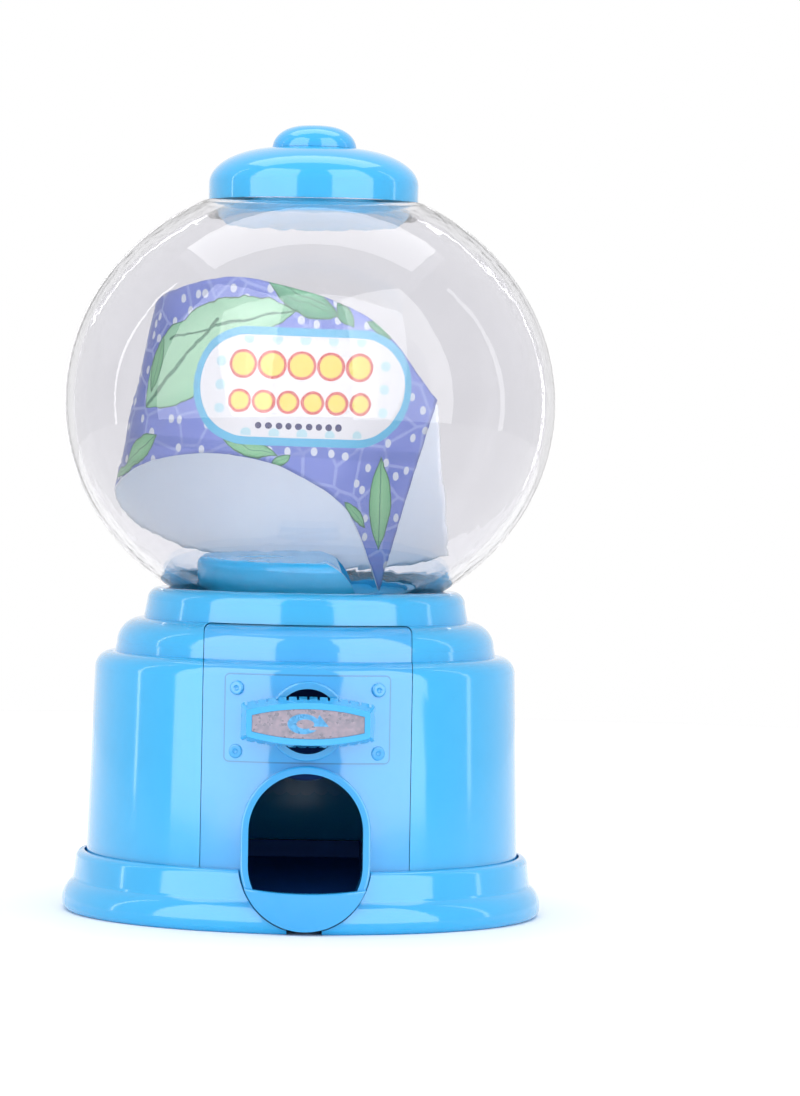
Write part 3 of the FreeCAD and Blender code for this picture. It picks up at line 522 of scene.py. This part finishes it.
def printed_card():
    """The print, laid out in mm from the label's middle on the flat cut."""
    lap_start, lap_length = 45.0, 71.0
    label_straight, label_round = 9.8, 10.3
    speck_w, speck_h = 4.9, 4.1
    made, shader, sheet = finish("printed_card", "UV")
    place = sheet.node("ShaderNodeSeparateXYZ", {}, Vector=sheet)
    wobble = sheet.node("ShaderNodeTexNoise", {"noise_dimensions": "2D"}, Vector=sheet,
                        Scale=26.0, Detail=2.0)
    x = place.out("X") * 100.0
    y = place.out("Y") * 100.0
    wavy = y + wobble * 1.6 - 0.8
    lap = (x + lap_start).wrapped(lap_length) - lap_start

    cloud = sheet.node("ShaderNodeTexNoise", {"noise_dimensions": "2D"}, Vector=sheet,
                       Scale=9.0, Detail=2.0)
    ground = (cloud * 0.6 + (x + 34.0).ramped(-6.0, 12.0) * 0.4).ramped(0.35, 0.75).blended(
        (0.06, 0.14, 0.62), (0.22, 0.30, 0.84))
    swirl = sheet.node("ShaderNodeTexVoronoi", {"voronoi_dimensions": "2D",
                                                "feature": "DISTANCE_TO_EDGE"},
                       Vector=sheet, Scale=17.0)
    ground = ((1.0 - swirl.ramped(0.02, 0.07)) * 0.6).blended(ground, (0.46, 0.56, 0.98))
    band = (1.0 - (y + 11.2 + x * 0.035).size().ramped(0.7, 1.2)) * 0.45
    ground = band.blended(ground, (0.08, 0.15, 0.55))
    drops = sheet.node("ShaderNodeMapping", {}, Vector=sheet, Scale=(1.15, 0.9, 1.0))
    dots = sheet.node("ShaderNodeTexVoronoi", {"voronoi_dimensions": "2D"}, Vector=drops,
                      Scale=23.0, Randomness=0.85)
    ground = (1.0 - dots.ramped(0.135, 0.175)).blended(ground, (0.80, 0.87, 0.98))

    pale = ((-1.6, 13.6), (-26.5, 7.6), 9.0), ((-15.5, 11.5), (-31.2, -4.4), 13.5)
    fresh = (((-28.2, 8.8), (-30.0, -1.8), 2.9), ((-35.9, -14.4), (-27.4, -9.3), 4.2),
             ((-41.5, -16.7), (-30.2, -13.6), 1.9), ((-13.9, -9.6), (-4.0, -12.2), 3.2),
             ((-5.2, -14.1), (-1.7, -11.6), 1.9), ((15.0, -11.7), (15.8, -28.2), 4.6),
             ((8.0, -19.6), (12.6, -24.1), 2.2))
    deep = (((-6.9, 18.2), (3.8, 14.2), 5.4), ((-3.6, 15.6), (5.6, 12.6), 4.6),
            ((5.2, 14.6), (8.3, 10.6), 2.6), ((10.6, 12.0), (15.8, 8.8), 2.2),
            ((19.2, 13.0), (23.6, 4.6), 3.4))
    for leaves, light, dark in ((pale, (0.30, 0.70, 0.42), (0.44, 0.84, 0.54)),
                                (fresh, (0.16, 0.55, 0.25), (0.34, 0.76, 0.40)),
                                (deep, (0.07, 0.38, 0.20), (0.18, 0.58, 0.32))):
        depth, rib = None, None
        for tip, end, wide in leaves:
            inside, across = leaf(lap, wavy, tip, end, wide)
            near = across * 3.0 + (1.0 - inside.ramped(0.0, 0.1)) * 9.0
            depth = inside if depth is None else depth | inside
            rib = near if rib is None else rib & near
        tint = (depth / 2.6).blended(light, dark)
        tint = (1.0 - rib.ramped(0.08, 0.22)).blended(tint, (0.06, 0.28, 0.15))
        tint = (1.0 - depth.ramped(0.18, 0.34)).blended(tint, (0.02, 0.18, 0.08))
        ground = depth.ramped(0.0, 0.05).blended(ground, tint)

    side = (x.size() - label_straight) | 0.0
    rim = label_round - (side * side + y * y).root()
    paint = rim.ramped(0.0, 0.08).blended(ground, (0.10, 0.58, 0.90))
    paint = rim.ramped(1.41, 1.49).blended(paint, (0.97, 0.98, 1.0))
    outside = (x.size() - 13.4).ramped(0.0, 0.1) | (y.size() - 6.7).ramped(0.0, 0.1)
    column = (x + speck_w / 2).wrapped(speck_w) - speck_w / 2
    line = (y + speck_h / 2).wrapped(speck_h) - speck_h / 2
    speck = (0.95 - (column * column + line * line).root()).ramped(0.0, 0.1)
    paint = (speck * outside * rim.ramped(1.6, 1.7)).blended(paint, (0.60, 0.90, 0.98))
    sweets = row(x, y, -0.5, 3.75, 5.1, 5, 2.55) | row(x, y, -0.5, -2.65, 4.25, 6, 2.1)
    paint = sweets.ramped(0.0, 0.08).blended(paint, (0.76, 0.04, 0.03))
    paint = sweets.ramped(0.52, 0.60).blended(paint, (0.97, 0.78, 0.04))
    beads = row(x, y, -0.6, -6.85, 1.75, 9, 0.62).ramped(0.0, 0.06)
    paint = beads.blended(paint, (0.01, 0.012, 0.14))

    fibre = sheet.node("ShaderNodeTexNoise", {"noise_dimensions": "2D"}, Vector=sheet,
                       Scale=700.0, Detail=4.0, Roughness=0.7)
    feed(shader,
         Base_Color=(fibre * 0.08 + 0.36).blended(paint, (0.0, 0.0, 0.0)),
         Roughness=fibre * 0.15 + 0.34,
         Coat_Weight=0.25,
         Coat_Roughness=0.2,
         Normal=sheet.node("ShaderNodeBump", {}, Height=fibre, Strength=0.15,
                           Distance=0.00003))
    return made


def bare_card():
    """The uncoated inner face: pale fibres over a slow tone."""
    made, shader, place = finish("bare_card")
    fibre = place.node("ShaderNodeTexNoise", {}, Vector=place, Scale=900.0, Detail=5.0,
                       Roughness=0.7)
    tone = place.node("ShaderNodeTexNoise", {}, Vector=place, Scale=60.0, Detail=3.0)
    feed(shader,
         Base_Color=(tone * 0.7 + fibre * 0.3).ramped(0.3, 0.7).blended(
             (0.87, 0.89, 0.93), (0.93, 0.945, 0.965)),
         Roughness=fibre * 0.15 + 0.55,
         Normal=place.node("ShaderNodeBump", {}, Height=fibre, Strength=0.25,
                           Distance=0.00004))
    return made


card = rolled_card()
card.data.materials.append(printed_card())
card.data.materials.append(bare_card())
board = card.modifiers.new("board", "SOLIDIFY")
board.thickness = card_thick
board.offset = -1
board.material_offset = 1
board.material_offset_rim = 1
bpy.context.view_layer.objects.active = card
bpy.ops.object.modifier_apply(modifier="board")
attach(card, "housing")
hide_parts("insert_card")


# ---- Table and studio
# A round white table top in a plain white surround. The softboxes, panel and strips show
# only as reflections; the fills only give light, and the glow only lights what lies
# inside the clear globe.

def table_top():
    """The round white top the machine stands on; it isn't a part of the machine."""
    bpy.ops.object.select_all(action="DESELECT")
    bpy.ops.mesh.primitive_circle_add(vertices=128, radius=0.6, fill_type="NGON",
                                      location=(0, 0, 0))
    table = bpy.context.object
    table.name = "table_top"
    made, shader, place = finish("white_laminate")
    mottle = place.node("ShaderNodeTexNoise", {}, Vector=place, Scale=6.0, Detail=2.0)
    feed(shader, Base_Color=mottle.blended((0.955, 0.955, 0.955), (0.965, 0.965, 0.965)),
         Roughness=0.6, Specular_IOR_Level=0.1)
    table.data.materials.append(made)


def softbox(name, place, aim, wide, tall, level, gloss=False, fill=False, inside=False):
    """A flat light of this brightness. With gloss it shows in reflections, with fill it
    lights every surface, and with inside it lights only what a clear wall covers."""
    light = bpy.data.lights.new(name, "AREA")
    light.shape = "RECTANGLE"
    light.size = wide
    light.size_y = tall
    light.energy = level * math.pi * wide * tall
    stand = bpy.data.objects.new(name, light)
    bpy.context.collection.objects.link(stand)
    stand.location = place
    stand.rotation_euler = (Vector(aim) - Vector(place)).to_track_quat("-Z", "Y").to_euler()
    stand.visible_camera = False
    stand.visible_glossy = gloss
    stand.visible_diffuse = fill
    stand.visible_transmission = fill or inside


def around(azimuth, reach, height):
    """A place round the machine; 0 degrees is in front, plus is to the right."""
    turn = math.radians(azimuth)
    return reach * math.sin(turn), -reach * math.cos(turn), height


bpy.context.scene.view_settings.view_transform = "Standard"
surround = bpy.data.worlds.new("white_surround")
bpy.context.scene.world = surround
surround.use_nodes = True
backdrop = surround.node_tree.nodes["Background"]
backdrop.inputs["Color"].default_value = (1, 1, 1, 1)
backdrop.inputs["Strength"].default_value = 1.0
table_top()
softbox("softbox_left", around(-46.5, 0.9, 0.42), (0, 0, 0.42), 0.94, 2.2, 2.9, gloss=True)
softbox("softbox_right", around(43, 0.9, 0.42), (0, 0, 0.42), 0.80, 2.2, 2.9, gloss=True)
softbox("panel_overhead", (0, 0.25, 1.0), (0, 0.1, 0), 1.2, 0.5, 2.0, gloss=True)
softbox("strip_left", around(-101, 0.9, 0.3), (0, 0, 0.3), 0.025, 1.4, 4.0, gloss=True)
softbox("strip_right", around(98, 0.9, 0.3), (0, 0, 0.3), 0.05, 1.4, 2.0, gloss=True)
softbox("fill_front", (0, -1.3, 0.35), (0, 0, 0.07), 1.6, 1.2, 1.3, fill=True)
softbox("fill_top", (0, 0, 1.5), (0, 0, 0), 2.0, 2.0, 0.6, fill=True)
softbox("glow_globe", (0, -0.9, 0.45), (0, 0, 0.08), 1.8, 1.7, 3.5, inside=True)

camera_azimuth, camera_roll = -0.9, 1.05
camera_reach, camera_height = 0.82, 0.082
long_side = 1096
camera = bpy.data.cameras.new("camera")
camera.lens = 150.9
camera.sensor_width = 36
camera.shift_x = 91.05 / long_side
camera.shift_y = -96.94 / long_side
camera.clip_start = 0.05
tripod = bpy.data.objects.new("camera", camera)
bpy.context.collection.objects.link(tripod)
tripod.matrix_world = (
    Matrix.Translation(around(camera_azimuth, camera_reach, camera_height))
    @ Matrix.Rotation(math.radians(camera_azimuth), 4, "Z")
    @ Matrix.Rotation(math.radians(90), 4, "X")
    @ Matrix.Rotation(math.radians(camera_roll), 4, "Z"))
bpy.context.scene.camera = tripod
